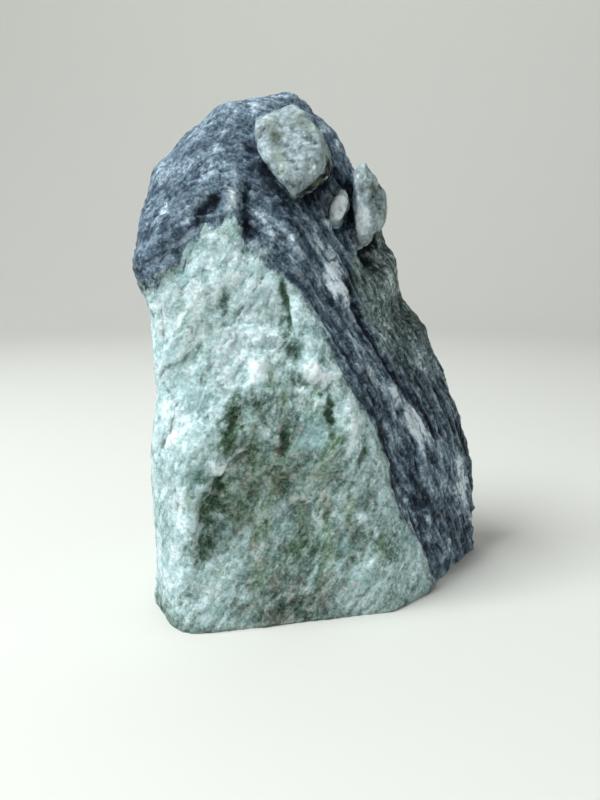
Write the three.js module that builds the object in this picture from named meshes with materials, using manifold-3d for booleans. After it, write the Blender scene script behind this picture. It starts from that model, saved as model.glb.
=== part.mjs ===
// A raw block of soapstone: one natural piece of rock, broken out along fracture faces and never carved.
// Pale talc makes its front and left. A dark foliated schist caps it and runs down its right and back,
// and rounded knobs of harder pale stone stand out of the schist near the top.
// The block stands on a flat base. +X is its right, +Y its back and +Z is up, in millimetres.
import * as THREE from "three";
import { ImprovedNoise } from "three/addons/math/ImprovedNoise.js";
import { mergeVertices } from "three/addons/utils/BufferGeometryUtils.js";
import Module from "manifold-3d";

// Driving dimensions.
const HEIGHT = 222; // base to peak
const BLOCK_DETAIL = 18; // a globe has 20 * (detail + 1)^2 triangles
const KNOB_DETAIL = 5;
const LENS_DETAIL = 3;
const UNEVENNESS = [[52, 3], [23, 2.2], [11, 1.1]]; // size of the broken faces' swells, and their height
const KNOB_GRAIN = [7, 1.2]; // the same for the knobs

// Shallow breaks scattered over the faces. The random sizes lie between two ends.
const SCARS = {
  count: 44,
  seed: 3,
  radius: [8, 19],
  length: [0.8, 1.5], // as a share of the radius
  depth: [0.8, 2.4],
  turn: -20,
  flat: 0.7,
};

// The block's fracture faces: the way each looks (degrees from +X towards +Y, and up) and a point on it.
const BLOCK = {
  core: [-8, -4, 98], // the point inside that the surface is measured from
  globe: [84, 56, 118], // half sizes of the globe whose points are moved onto the faces
  wear: 2, // how far the edges between the faces are worn round
  faces: [
    { name: "front, lower", azimuth: -77, elevation: -1, through: [-12, -49, 40] },
    { name: "front, upper", azimuth: -82, elevation: 9, through: [-22, -50, 88] },
    { name: "front left strip", azimuth: -118, elevation: 2, through: [-61, -53, 50] },
    { name: "left front corner", azimuth: -152, elevation: -3, through: [-72.5, -39, 20] },
    { name: "left", azimuth: 183, elevation: 1, through: [-76, -6, 40] },
    { name: "left, upper", azimuth: 178, elevation: 16, through: [-82.5, -11, 170] },
    { name: "foot of the slab", azimuth: -50, elevation: 5, through: [41, -28.5, 10] },
    { name: "right, lower", azimuth: -35, elevation: 0, through: [59.5, -6, 10] },
    { name: "right", azimuth: -41, elevation: 16, through: [47, 12, 117] },
    { name: "right shoulder", azimuth: -12, elevation: 25, through: [57, 14, 104] },
    { name: "right end", azimuth: 2, elevation: 0, through: [86, 28, 28] },
    { name: "right end, upper", azimuth: -4, elevation: 17, through: [82.5, 26, 56] },
    { name: "right back", azimuth: 36, elevation: 12, through: [82, 38, 22] },
    { name: "back", azimuth: 94, elevation: 9, through: [8, 52, 12] },
    { name: "back, upper", azimuth: 78, elevation: 24, through: [-2, 38, 150] },
    { name: "left back", azimuth: 141, elevation: 7, through: [-64, 24, 60] },
    { name: "crown, front", azimuth: -98, elevation: 30, through: [-32, -33, 188] },
    { name: "crown, front left", azimuth: -146, elevation: 34, through: [-62.5, -20, 182] },
    { name: "crown, front right", azimuth: -48, elevation: 34, through: [2, -18, 190] },
    { name: "crown, left", azimuth: 176, elevation: 44, through: [-61, -3, 198] },
    { name: "crown, top", azimuth: 190, elevation: 77, through: [-38, 0, 214] },
    { name: "crown, right", azimuth: 2, elevation: 46, through: [1, 2, 209] },
    { name: "crown, right shoulder", azimuth: -4, elevation: 33, through: [31.5, 0, 178] },
    { name: "crown, back", azimuth: 88, elevation: 52, through: [-22, 22, 202] },
    { name: "under the base", azimuth: 0, elevation: -90, through: [0, 0, -14] },
  ],
};

// Where the schist meets the talc on the front: over the talc along its top, and beside it down its right.
const CONTACT_OVER = [
  [-85, 134], [-72, 139], [-55, 151], [-48, 164], [-36, 168], [-32, 155], [0, 160], [90, 200],
];
const CONTACT_BESIDE = [
  [0, 68], [25, 51], [46, 37], [59, 35], [82, 27], [102, 11], [123, -2], [134, -4], [151, -24],
];
const CONTACT_Y = -40; // both lines are on the front, this far from the middle
const CONTACT_FALLS = 0.2; // how much lower the schist reaches for each millimetre further back
const CONTACT_CLOSES = 0.45; // how much further left it reaches for each millimetre further back
const CONTACT_STEP = [-2, 4]; // the step at the contact starts and ends this far into the schist
const CROWN_OVERHANG = 3.5; // how far the schist's crown stands out over the talc
const CROWN_OVERHANG_ENDS = [-34, -16]; // between these X it dies away towards the right
const SLAB_THICKNESS = 5; // how far the talc stands out in front of the schist at the foot of its right edge
const SLAB_ENDS = [30, 120]; // between these heights that step dies away

// The schist's ridges: each rises slowly across the foliation and breaks off in a ledge.
const FOLIATION = {
  across: [0.88, 0.25, 0.46],
  pitch: 15,
  height: 3.4,
  ledge: 0.7, // the share of a ridge where its ledge starts
  starts: [2, 12], // this far into the schist the ridges start and are at their full height
  waver: [48, 9], // the size of the swells that the ridges follow, and how far they go
  patches: [30, 0.9], // the size of the patches with stronger and weaker ridges, and how unlike they are
};

// Lumps (rise above 0) and hollows (below 0): where each is, its half sizes, its turn about Y in degrees,
// and the share of it that is flat.
const RELIEF = [
  { name: "scoop in the front", at: [-16, -46, 46], reach: [42, 34, 46], turn: -14, rise: -5.5, flat: 0.1 },
  { name: "scoop's deep side", at: [-40, -50, 45], reach: [13, 26, 34], turn: -22, rise: -5, flat: 0.45 },
  { name: "ledge over the scoop", at: [-47, -54, 80], reach: [15, 24, 10], turn: 25, rise: 2.5, flat: 0.3 },
  { name: "hollow above the foot", at: [12, -42, 34], reach: [13, 20, 13], turn: 0, rise: -3, flat: 0.3 },
  { name: "rib under the crown", at: [-37, -38, 173], reach: [5, 18, 17], turn: 6, rise: 3.6, flat: 0.2 },
  { name: "groove beside the crown", at: [-29, -37, 167], reach: [7, 20, 19], turn: 0, rise: -5, flat: 0.2 },
  { name: "crease in the crown", at: [-48, -40, 169], reach: [14, 20, 5.5], turn: 42, rise: -5, flat: 0.2 },
  { name: "groove in the talc", at: [-17, -41, 130], reach: [6, 20, 18], turn: 0, rise: -3, flat: 0 },
  { name: "rise of the peak", at: [-16, 0, 217], reach: [18, 24, 16], turn: 0, rise: 6, flat: 0 },
  { name: "bed of the knob", at: [-12, -30, 190], reach: [22, 16, 26], turn: 0, rise: -3.5, flat: 0.6 },
  { name: "notch under the knob", at: [25, 4, 157], reach: [16, 34, 13], turn: 10, rise: -10.5, flat: 0.2 },
  { name: "shoulder of the band", at: [42, 10, 136], reach: [13, 36, 20], turn: 30, rise: -6, flat: 0.4 },
  { name: "ledge at the shoulder", at: [40, 16, 131], reach: [15, 30, 12], turn: 20, rise: -4.5, flat: 0.2 },
  { name: "step in the band", at: [58, 14, 92], reach: [12, 30, 12], turn: 30, rise: -3, flat: 0.4 },
  { name: "scoop in the back", at: [20, 44, 76], reach: [40, 30, 34], turn: 20, rise: -5, flat: 0.2 },
  { name: "step in the back", at: [-36, 44, 128], reach: [26, 30, 20], turn: 30, rise: -4, flat: 0.5 },
  { name: "hollow in the right end", at: [78, 44, 50], reach: [20, 16, 20], turn: 0, rise: -3, flat: 0.3 },
  { name: "break in the left", at: [-77, -14, 98], reach: [24, 40, 36], turn: 0, rise: -5, flat: 0.5 },
];

// The knobs and lenses of hard pale stone, each a small block of its own that is joined to the big one.
const KNOBS = [
  {
    name: "front knob",
    detail: KNOB_DETAIL,
    core: [-13, -24, 192],
    globe: [14, 12, 18],
    wear: 1,
    faces: [
      { name: "front", azimuth: -92, elevation: 16, through: [-14, -38.5, 191] },
      { name: "lower right front", azimuth: -34, elevation: -14, through: [0, -35, 183] },
      { name: "left", azimuth: 180, elevation: -8, through: [-27.5, -28, 200] },
      { name: "top left", azimuth: 180, elevation: 66, through: [-21, -24, 209] },
      { name: "top right", azimuth: -2, elevation: 46, through: [-7, -24, 207] },
      { name: "right", azimuth: -10, elevation: 8, through: [1, -24, 194] },
      { name: "under, left", azimuth: 186, elevation: -38, through: [-21, -30, 184] },
      { name: "under, right", azimuth: -10, elevation: -50, through: [-5, -28, 181.5] },
      { name: "back", azimuth: 90, elevation: 0, through: [-13, -8, 192] },
    ],
  },
  {
    name: "right knob",
    detail: KNOB_DETAIL,
    core: [20, -4, 174],
    globe: [9, 14, 16],
    wear: 0.9,
    faces: [
      { name: "front", azimuth: -52, elevation: 4, through: [21.5, -17, 173] },
      { name: "front left", azimuth: -118, elevation: 4, through: [15.5, -18, 172] },
      { name: "right", azimuth: -4, elevation: 2, through: [27.5, -3, 174] },
      { name: "top", azimuth: 180, elevation: 78, through: [17, -4, 192] },
      { name: "top right", azimuth: 0, elevation: 38, through: [22.5, -4, 185.5] },
      { name: "under, right", azimuth: 4, elevation: -44, through: [22, -8, 162] },
      { name: "under, left", azimuth: 200, elevation: -76, through: [17, -8, 157.5] },
      { name: "left", azimuth: 180, elevation: -2, through: [13.3, -4, 173] },
      { name: "back", azimuth: 95, elevation: 10, through: [18, 10, 173] },
    ],
  },
  {
    name: "lens beside the knob",
    detail: LENS_DETAIL,
    core: [5.8, -16, 173],
    globe: [4, 7, 9],
    wear: 0.9,
    faces: [
      { name: "front", azimuth: -74, elevation: 8, through: [6, -22.5, 173] },
      { name: "right", azimuth: -8, elevation: 0, through: [10.4, -16, 176] },
      { name: "left", azimuth: 182, elevation: 2, through: [2.2, -16, 171] },
      { name: "top left", azimuth: 180, elevation: 36, through: [4.6, -16, 178] },
      { name: "top right", azimuth: 6, elevation: 44, through: [8.6, -16, 181] },
      { name: "under, right", azimuth: -8, elevation: -34, through: [8.2, -16, 170.5] },
      { name: "under, left", azimuth: 200, elevation: -70, through: [3.4, -16, 166.2] },
      { name: "back", azimuth: 90, elevation: 0, through: [5, -8, 173] },
    ],
  },
  {
    name: "lens in the band",
    detail: LENS_DETAIL,
    core: [4.3, -19, 142],
    globe: [4, 6, 11],
    wear: 0.9,
    faces: [
      { name: "front", azimuth: -64, elevation: 14, through: [6, -29, 142] },
      { name: "right", azimuth: 0, elevation: 22, through: [8, -20, 143] },
      { name: "left", azimuth: 180, elevation: -22, through: [0.5, -20, 141] },
      { name: "top", azimuth: 170, elevation: 60, through: [2, -20, 152] },
      { name: "bottom", azimuth: -10, elevation: -60, through: [9, -20, 133] },
      { name: "back", azimuth: 90, elevation: 0, through: [6, -10, 142] },
    ],
  },
];

const { degToRad: radians, lerp, smoothstep } = THREE.MathUtils;
const UP_THE_DEPTH = new THREE.Vector3(0, 1, 0);
const GRAZING = 0.02; // a face that looks further from a direction than this can't bound the block there
const SAME_POINT = 1e-4;
const GROUND = 400; // wider than the block, and as deep

const wasm = await Module();
wasm.setup();
const perlin = new ImprovedNoise();

// Smooth noise of a given grain size and height.
function swell(p, [size, height]) {
  return height * perlin.noise(p.x / size + 7, p.y / size + 3, p.z / size + 5);
}

// A repeatable random number between two ends for each whole number.
function chance(n, low, high) {
  const wave = Math.sin(n * 127.1 + 311.7) * 43758.5453;
  return lerp(low, high, wave - Math.floor(wave));
}

// The direction that looks to an azimuth, from +X towards +Y, and an elevation.
function looking({ azimuth, elevation }) {
  const level = Math.cos(radians(elevation));
  const [x, y] = [level * Math.cos(radians(azimuth)), level * Math.sin(radians(azimuth))];
  return new THREE.Vector3(x, y, Math.sin(radians(elevation)));
}

// The value at a position of a line of [position, value] points, level beyond its ends.
function along(line, position) {
  const next = line.findIndex(([at]) => at > position);
  if (next === 0) return line[0][1];
  if (next < 0) return line[line.length - 1][1];
  const [[from, low], [to, high]] = [line[next - 1], line[next]];
  return lerp(low, high, (position - from) / (to - from));
}

// How far a point lies into the schist, over the talc and beside it: below 0 it is in the talc.
function intoSchist(p) {
  const back = p.y - CONTACT_Y;
  const over = p.z - along(CONTACT_OVER, p.x) + CONTACT_FALLS * back;
  const beside = p.x - along(CONTACT_BESIDE, p.z) + CONTACT_CLOSES * back;
  return { over, beside };
}

// The height of the schist's ridges at a point this far into it.
function ridges(p, depth) {
  const across = new THREE.Vector3(...FOLIATION.across).dot(p) + swell(p, FOLIATION.waver);
  const turns = across / FOLIATION.pitch;
  const share = turns - Math.floor(turns);
  const profile = share - smoothstep(share, FOLIATION.ledge, 1);
  const strength = 0.75 + swell(p, FOLIATION.patches);
  return FOLIATION.height * strength * profile * smoothstep(depth, ...FOLIATION.starts);
}

// The height of one lump or hollow of the relief at a point.
function lump(p, { at, reach, turn, rise, flat }) {
  const from = p.clone().sub(new THREE.Vector3(...at)).applyAxisAngle(UP_THE_DEPTH, radians(turn));
  return rise * (1 - smoothstep(from.divide(new THREE.Vector3(...reach)).length(), flat, 1));
}

// How far out from the core of a block its bare faces lie, one way.
function reachOf({ core, wear, faces }, way) {
  let sum = 0;
  for (const face of faces) {
    const normal = looking(face);
    const facing = normal.dot(way);
    if (facing < GRAZING) continue;
    const distance = new THREE.Vector3(...face.through).sub(new THREE.Vector3(...core)).dot(normal);
    sum += Math.exp(-distance / facing / wear);
  }
  return -wear * Math.log(sum);
}

// The point where a block's bare faces lie, one way out from its core.
function onFaces(block, way) {
  return new THREE.Vector3(...block.core).addScaledVector(way, reachOf(block, way));
}

// One of the scattered scars, as a hollow like those of the relief.
function scar(_, i) {
  const n = SCARS.seed + i * 5;
  const way = looking({ azimuth: chance(n, -180, 180), elevation: chance(n + 1, -50, 65) });
  const radius = chance(n + 2, ...SCARS.radius);
  const reach = [radius, radius, radius * chance(n + 3, ...SCARS.length)];
  const rise = -chance(n + 4, ...SCARS.depth);
  return { at: onFaces(BLOCK, way), reach, turn: SCARS.turn, rise, flat: SCARS.flat };
}

const LUMPS = [...RELIEF, ...Array.from({ length: SCARS.count }, scar)];

// How far the block's surface stands out from its bare faces at a point of them.
function relief(p) {
  const { over, beside } = intoSchist(p);
  const crown = smoothstep(over, ...CONTACT_STEP) * (1 - smoothstep(p.x, ...CROWN_OVERHANG_ENDS));
  const band = smoothstep(beside, ...CONTACT_STEP) * (1 - smoothstep(p.z, ...SLAB_ENDS));
  let out = CROWN_OVERHANG * crown - SLAB_THICKNESS * band + ridges(p, Math.max(over, beside));
  for (const one of LUMPS) out += lump(p, one);
  for (const swells of UNEVENNESS) out += swell(p, swells);
  return out;
}

// A globe whose points are moved onto the faces of a block and then stood out by a height for each point.
function shaped(block, detail, height) {
  const globe = merged(new THREE.IcosahedronGeometry(1, detail));
  const position = globe.getAttribute("position");
  const size = new THREE.Vector3(...block.globe);
  for (let i = 0; i < position.count; i++) {
    const way = new THREE.Vector3().fromBufferAttribute(position, i).multiply(size).normalize();
    const point = onFaces(block, way);
    point.addScaledVector(way, height(point));
    position.setXYZ(i, ...point);
  }
  return globe;
}

// A geometry with its shared points made one.
function merged(geometry) {
  geometry.deleteAttribute("normal");
  geometry.deleteAttribute("uv");
  return mergeVertices(geometry, SAME_POINT);
}

// A closed mesh as a manifold-3d solid.
function solid(geometry) {
  const { index, attributes } = merged(geometry);
  const triVerts = new Uint32Array(index.array);
  const mesh = new wasm.Mesh({ numProp: 3, vertProperties: attributes.position.array, triVerts });
  return new wasm.Manifold(mesh);
}

// The block with its knobs, cut off level at the base and stood in the middle of the floor.
function stone() {
  let joined = solid(shaped(BLOCK, BLOCK_DETAIL, relief));
  for (const knob of KNOBS) {
    joined = joined.add(solid(shaped(knob, knob.detail, (p) => swell(p, KNOB_GRAIN))));
  }
  const ground = new THREE.BoxGeometry(GROUND, GROUND, GROUND).translate(0, 0, -GROUND / 2);
  const mesh = joined.subtract(solid(ground)).getMesh();
  const geometry = new THREE.BufferGeometry().setIndex(new THREE.BufferAttribute(mesh.triVerts, 1));
  geometry.setAttribute("position", new THREE.BufferAttribute(mesh.vertProperties, mesh.numProp));
  geometry.computeBoundingBox();
  const { min, max } = geometry.boundingBox;
  const scale = HEIGHT / (max.z - min.z);
  geometry.translate(-(min.x + max.x) / 2, -(min.y + max.y) / 2, -min.z);
  return geometry.scale(scale, scale, scale);
}

const talc = new THREE.MeshStandardMaterial({ color: 0x9db3a8, roughness: 0.62, metalness: 0 });
const rock = new THREE.Mesh(stone(), talc);
rock.name = "soapstone_block";

const part = new THREE.Group();
part.add(rock);

export default part;
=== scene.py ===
"""A raw block of soapstone on a plain pale floor.

The CAD block is copied, made into an even mesh of fine faces and given the surface of broken stone:
splintery talc, layered schist, creases where the two meet, and knobs of hard pale stone. Sizes are in
millimetres in the tables and functions that shape and colour the stone, in the frame's own axes: +X right,
+Y back, +Z up.
"""

from math import cos, radians, sin

import bpy
import numpy as np
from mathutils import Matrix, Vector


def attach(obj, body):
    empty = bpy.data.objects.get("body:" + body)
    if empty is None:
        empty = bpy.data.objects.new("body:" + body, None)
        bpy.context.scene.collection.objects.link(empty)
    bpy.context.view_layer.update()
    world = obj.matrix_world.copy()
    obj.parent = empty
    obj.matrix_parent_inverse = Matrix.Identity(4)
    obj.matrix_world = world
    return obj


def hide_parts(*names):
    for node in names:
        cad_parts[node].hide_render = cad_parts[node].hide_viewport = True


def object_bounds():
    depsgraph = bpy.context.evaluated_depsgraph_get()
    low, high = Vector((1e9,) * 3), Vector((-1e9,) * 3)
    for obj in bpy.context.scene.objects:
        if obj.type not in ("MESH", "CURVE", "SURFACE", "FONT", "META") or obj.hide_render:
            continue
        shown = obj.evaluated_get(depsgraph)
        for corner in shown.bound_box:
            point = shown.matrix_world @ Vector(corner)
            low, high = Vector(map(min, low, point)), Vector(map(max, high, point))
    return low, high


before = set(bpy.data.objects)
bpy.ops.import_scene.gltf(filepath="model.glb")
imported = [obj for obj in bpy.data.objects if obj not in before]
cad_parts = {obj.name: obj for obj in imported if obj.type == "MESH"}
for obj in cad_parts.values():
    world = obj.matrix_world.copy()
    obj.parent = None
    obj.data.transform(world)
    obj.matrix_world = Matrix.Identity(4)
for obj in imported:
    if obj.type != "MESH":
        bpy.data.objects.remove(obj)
cad_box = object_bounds()

MM = 0.001

# The camera, a little above the stone and looking down at it: its lens, and its sensor's height, in mm.
CAMERA_AT = (-13.0, -320.0, 151.9)
CAMERA_TILT = 11.41  # degrees below level
LENS = 31.5
SENSOR_HEIGHT = 36.0
PICTURE = (600, 800)  # the picture's width and height in pixels

# The floor and the low wall it curves up into, in metres.
FLOOR_MIDDLE = 0.4
FLOOR_RADIUS = 2.0
FLOOR_SIDES = 96
SWEEP_RADIUS = 0.8
SWEEP_RINGS = 13
WALL_HEIGHT = 1.6
FLOOR_PAINT = ("cecdc7", 0.8)  # colour and roughness

# The light, a cool daylight: each lamp's name, place and aim in metres, power in watts, and width in metres.
DAYLIGHT = (0.93, 0.98, 1.0)
LAMPS = [
    ("key", (-0.7, -0.4, 1.2), (0, 0, 0.1), 29, 0.6),
    ("fill", (1.2, -0.35, 0.5), (0, 0, 0.1), 3, 0.9),
    ("backdrop", (0, 0.7, 1.5), (0, 2, 0.4), 10, 1.2),
]
WORLD = ("e4e6e6", 0.25)  # colour and strength

# The fine mesh.
VOXEL = 1.14  # how large its faces are
SMOOTHING = 6  # rounds that take the edges off the CAD's facets
CRISP = 0.2  # the share of that smoothing which the knobs and the foot get
FOOT = (2.4, 6.0)  # the crisp foot ends between these heights
BASE_BAND = (0.3, 1.6)  # the fine surface starts between these heights, so that the base stays flat
BASE_SNAP = 0.6  # what lies lower than this is put on the base
FRONT_FACING = (0.0, 0.35)  # how far forward a face looks, from where it isn't the front to where it is
HOLLOW_ROUNDS = 5  # rounds of smoothing that show which points are hollow and which stand out as edges

# Where the schist meets the talc, as in the CAD: over it along its top, and beside it down its right.
CONTACT_OVER = [(-87, 134), (-74, 139), (-57, 151), (-50, 164), (-38, 168), (-34, 155), (-2, 160), (88, 200)]
CONTACT_BESIDE = [
    (0, 66), (25, 49), (46, 35), (59, 33), (82, 25), (102, 9), (123, -4), (134, -6), (151, -26),
]
CONTACT_Y = -42  # where those lines lie
CONTACT_FALLS = 0.2  # how far the top comes down for each mm back from there
CONTACT_CLOSES = 0.45  # and how far the side moves left
INTO_SCHIST = (-1, 2)  # the talc's relief turns into the schist's between these depths

# The schist's layers run along that contact, rounded off like this.
LAYER_BESIDE = CONTACT_BESIDE[:5] + [(102, 10), (123, -4), (145, -17), (165, -28), (205, -40)]
LAYER_EASE = 9  # how widely its corners are rounded
BELL_REACH = 4  # the bell that rounds them off is cut off at this many times its width
LAYER_FOLD = 16  # how widely the layers bend between the crown and the band
LAYER_SLOPES = (1.25, 1.2)  # how steeply the distances over and beside the contact grow

# The knobs and the lens of pale stone, as in the CAD: a point inside each, how far its edges are worn round,
# and its faces, each as the way it looks (degrees from +X towards +Y, and up) and a point on it.
KNOBS = [
    ((-15, -26, 192), 1, [
        (-92, 16, (-16, -40.5, 191)), (-34, -14, (-2, -37, 183)), (180, -8, (-29.5, -30, 200)),
        (180, 66, (-23, -26, 209)), (-2, 46, (-9, -26, 207)), (-10, 8, (-1, -26, 194)),
        (186, -38, (-23, -32, 185)), (-10, -50, (-7, -30, 183)), (90, 0, (-15, -10, 192)),
    ]),
    ((18, -6, 174), 0.9, [
        (-52, 4, (19.5, -19, 173)), (-118, 4, (13.5, -20, 172)), (-4, 2, (25.5, -5, 174)),
        (180, 78, (15, -6, 192)), (0, 38, (20.5, -6, 185.5)), (4, -44, (20, -10, 162)),
        (200, -76, (15, -10, 157.5)), (180, -2, (11.3, -6, 173)), (95, 10, (16, 8, 173)),
    ]),
    ((3.8, -18, 173), 0.9, [
        (-74, 8, (4, -24.5, 173)), (-8, 0, (8.4, -18, 176)), (182, 2, (0.2, -18, 171)),
        (180, 36, (2.6, -18, 178)), (6, 44, (6.6, -18, 181)), (-8, -34, (6.2, -18, 170.5)),
        (200, -70, (1.4, -18, 166.2)), (90, 0, (3, -10, 173)),
    ]),
]
GRAZING = 0.02  # a face that looks further away from a direction than this can't bound the knob there
KNOB_SKIN = (1.0, 1.9)  # the pale stone ends this far outside those faces

# The edge between the front's blue-grey band and the greener right side, as (z, x).
RIGHT_EDGE = [
    (0, 88), (40, 76), (59, 66), (80, 50), (99, 35), (117, 21), (135, 11), (150, 9), (168, 22), (185, 60),
]

# The talc's edge stands out over the schist at the foot of the band.
SLAB_EDGE = 1.4  # how far
SLAB_STEP = (-0.8, 1.2)  # across the contact, where the step down lies
SLAB_ENDS = (70, 110)  # between these heights it dies away
SLAB_REACH = (6, 16)  # this far into the schist the surface comes back up

# Steps in the front, along lines through points (x, z). The stone right of a line, on the way from its first
# point to its last, lies lower: how much, and how far from the line the floor comes back up.
STEPS = [
    ([(-58, 24), (-55, 38), (-52, 54), (-47, 66), (-40, 71), (-33, 80), (-26, 88)], 4.6, 26),
    ([(52, 2), (46, 18), (40, 34), (33, 46), (30, 62), (22, 82)], 1.6, 9),
    ([(12, 26), (16, 40), (10, 47), (0, 44), (-4, 34)], 1.2, 12),
]
STEP_DROP = (-1.5, 3)  # across the line, where the drop lies
STEP_TAPER = 0.2  # the share of the line in which each end of a step fades

# Noises in the relief: how high, how large their grain is, and a seed for each.
LAYER_WANDER = [(2.0, 24, 41), (0.5, 9, 42)]
STEP_WANDER = [(1.8, 9, 81), (1.6, 4, 82), (1.2, 2.2, 83)]
SLAB_WANDER = [(2.4, 11, 85), (1.2, 4, 86)]
MARK_WANDER = [(0.35, 7, 70), (0.42, 3.5, 71), (0.28, 1.8, 72)]  # as a share of a mark's half width
SCHIST_SWELLS = [(0.3, 5, 46)]
KNOB_SWELLS = [(0.3, 3, 61)]

# Small flats that a surface breaks into: how large, how much they tilt, and a seed for each.
SCHIST_FLATS = [(4, 0.28, 51), (2.6, 0.26, 55)]
KNOB_FLATS = [(5, 0.26, 62), (2.6, 0.26, 66)]

# The talc's splinters are such flats, drawn out that many times along its grain, on a wavy grain.
TALC_GRAIN = np.array([0.5, 0.1, 0.86])
TALC_SPLINTERS = [(2.6, (6, 0.17, 21)), (2, (3.2, 0.2, 31)), (1.8, (14, 0.1, 11))]
TALC_SWELLS = (3, [(0.4, 8, 12)])  # how drawn out they are, and their noise
TALC_WAVES = [(1.5, 12, 91), (1.5, 12, 92), (1.5, 12, 93)]  # a noise along each axis

# The schist's layers break off in ledges: how far apart they are, how high, and the seeds of their noises.
LEDGES = [(6.1, 2.4, 43, 48), (3.3, 0.9, 44, 49)]
LEDGE_BREAK = 0.6  # each rises for this share of the way to the next, and then drops
LEDGE_MIDDLE = 0.3  # the share of it below the plain surface
LEDGE_PATCHES = (0.6, 0.9, 13)  # how high it is on the whole, how much that varies, and over what size
LEDGE_WANDER = (1.5, 10)  # how far it wanders through the layers, and over what size
CROWN_PLAINER = 0.75  # how much of the ledges is lost in the crown
UPPER_PLAINER = 0.45  # and in the upper right side
UPPER_RIGHT = ((90, 130), (10, 30))  # that side starts between these heights, and these places across

MARK_FADE = 1.7  # a mark is gone at this many half widths
MARK_TAPER = 0.3  # the share of the line in which each end of a mark weakens
MARK_TIP = 0.4  # what is left of its strength at the very end

# Marks on the stone, as lines through points of the picture, in its pixels from the top left: half width in
# mm, strength (below 0 it is dark), rise in mm (below 0 it is a cut), and the points.
TALC_MARKS = [
    # White flakes and patches in the upper front.
    (4.4, 1.35, 1, (258, 358), (255, 375), (260, 387)),
    (3.4, 1.35, 0.9, (306, 358), (315, 371), (320, 383)),
    (5, 0.6, 0.3, (296, 298), (304, 318), (310, 327)),
    (2.4, 1.1, 0.5, (335, 372), (338, 381)),
    (3, 0.6, 0, (203, 333), (206, 340)),
    (4, 0.6, 0, (207, 249), (184, 269)),
    (3, 0.6, 0, (229, 236), (224, 254)),
    (5, 0.6, 0, (169, 314), (162, 340)),
    (3, 0.5, 0, (173, 369), (163, 385)),
    (1.3, 1.4, 0.6, (264, 390), (274, 392)),
    (1.3, 1.4, 0.6, (293, 390), (309, 391)),
    # Pale patches round the hollow, down the left and along the foot, with painted highlights on the edges
    # round the hollow and down the lit left side.
    (1.8, 1.6, 1, (212, 459), (216, 470), (231, 472)),
    (3.4, 1.5, 0.6, (313, 511), (318, 521), (319, 529)),
    (3.4, 0.7, 0.2, (262, 437), (270, 434)),
    (5, 1.3, 0.2, (168, 430), (178, 441)),
    (4, 0.7, 0.3, (190, 494), (186, 508), (182, 525), (180, 540)),
    (3.5, 0.9, 0.2, (163, 602), (190, 617), (219, 623), (246, 622)),
    (2.5, 0.7, 0, (288, 588), (284, 600)),
    (3, 0.6, 0.2, (303, 489), (292, 507)),
    (2, 1.6, 0.8, (218, 516), (226, 522)),
    (11, 0.5, 0, (308, 486), (330, 508), (345, 533)),
    # Pale streaks of the slab on the right, and a painted highlight along its edge.
    (1.8, 1.4, 0.6, (356, 520), (370, 518)),
    (3.6, 1, 0.3, (353, 407), (355, 430), (348, 464)),
    (2.4, 0.7, 0, (373, 433), (377, 471)),
    (2.4, 0.6, 0, (381, 489), (390, 522)),
    (2, 0.9, 0.6, (405, 520), (416, 536), (421, 552)),
    (3.5, 0.6, 0, (403, 560), (394, 571)),
    (4, 0.8, 0, (381, 589), (362, 605), (340, 608)),
    (3, 0.5, 0, (350, 573), (359, 568)),
    # Painted shade on the dark green facet down the hollow's left, which faces away from the light, and the
    # dark green patches above it and in the hollow, partly their own colour and partly painted shade.
    (8, -1.2, -0.8, (225, 474), (219, 488), (213, 503), (208, 519), (204, 534)),
    (7.5, -0.8, -0.3, (204, 534), (200, 549), (192, 566)),
    (2, -1, -0.4, (207, 486), (202, 502), (199, 522)),
    (5, -1.1, -0.5, (244, 389), (236, 404), (231, 425), (228, 453), (238, 461)),
    (3.6, -1, -0.5, (288, 427), (284, 443), (277, 459)),
    (4, -0.8, -0.2, (272, 471), (284, 484), (291, 495)),
    (1.8, -1.2, -0.8, (328, 383), (330, 410), (332, 434)),
    (2.4, -1, -0.4, (318, 391), (325, 398)),
    (2, -0.6, -0.2, (246, 494), (242, 512), (238, 526)),
    (3.4, -0.7, -0.2, (299, 514), (291, 534)),
    (2.5, -0.6, 0, (311, 546), (316, 552)),
    (2, -0.7, 0, (274, 612), (287, 604), (303, 600)),
    (4, -0.5, 0, (184, 590), (208, 592)),
    (3, -0.5, 0, (188, 539), (186, 563)),
    (4, -0.8, -0.3, (350, 533), (360, 545)),
    (5, -0.5, 0, (341, 553), (363, 561)),
    (3, -0.5, 0, (361, 442), (363, 462)),
    (4, -0.4, 0, (365, 490), (374, 508)),
    (4, -0.4, 0, (299, 458), (330, 458)),
    # Painted shade in the long groove under the point where talc and schist meet, and the greener stone on
    # its right.
    (1.5, -1.5, -1, (281, 272), (282, 285), (286, 300), (289, 320), (293, 340)),
    (3.2, -1.1, -0.4, (289, 332), (295, 350), (302, 368)),
    (10, -0.55, 0, (300, 308), (310, 322), (317, 344)),
    (9, -0.75, 0, (382, 526), (392, 548), (404, 570)),
    # Painted shade in faint grooves and patches of the upper front.
    (9, -0.3, 0, (225, 268), (240, 280), (255, 295)),
    (2.2, -0.7, -0.4, (226, 280), (224, 300), (222, 328)),
    (2.5, -0.6, -0.3, (240, 254), (250, 254)),
    (2, -0.7, -0.5, (296, 358), (302, 368)),
    (1.6, -0.8, -0.5, (322, 356), (325, 370)),
    (2.4, -0.6, -0.3, (258, 347), (271, 354)),
    (5, -0.5, 0, (236, 392), (254, 402), (274, 397)),
    (2.4, -0.6, -0.2, (153, 305), (152, 332)),
    (1.6, -0.6, -0.4, (213, 300), (207, 318), (212, 349)),
    (4, -0.3, 0, (279, 358), (283, 378)),
    (3, -0.5, -0.3, (197, 356), (207, 344)),
    (2, -0.6, -0.3, (294, 377), (308, 393)),
]
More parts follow.
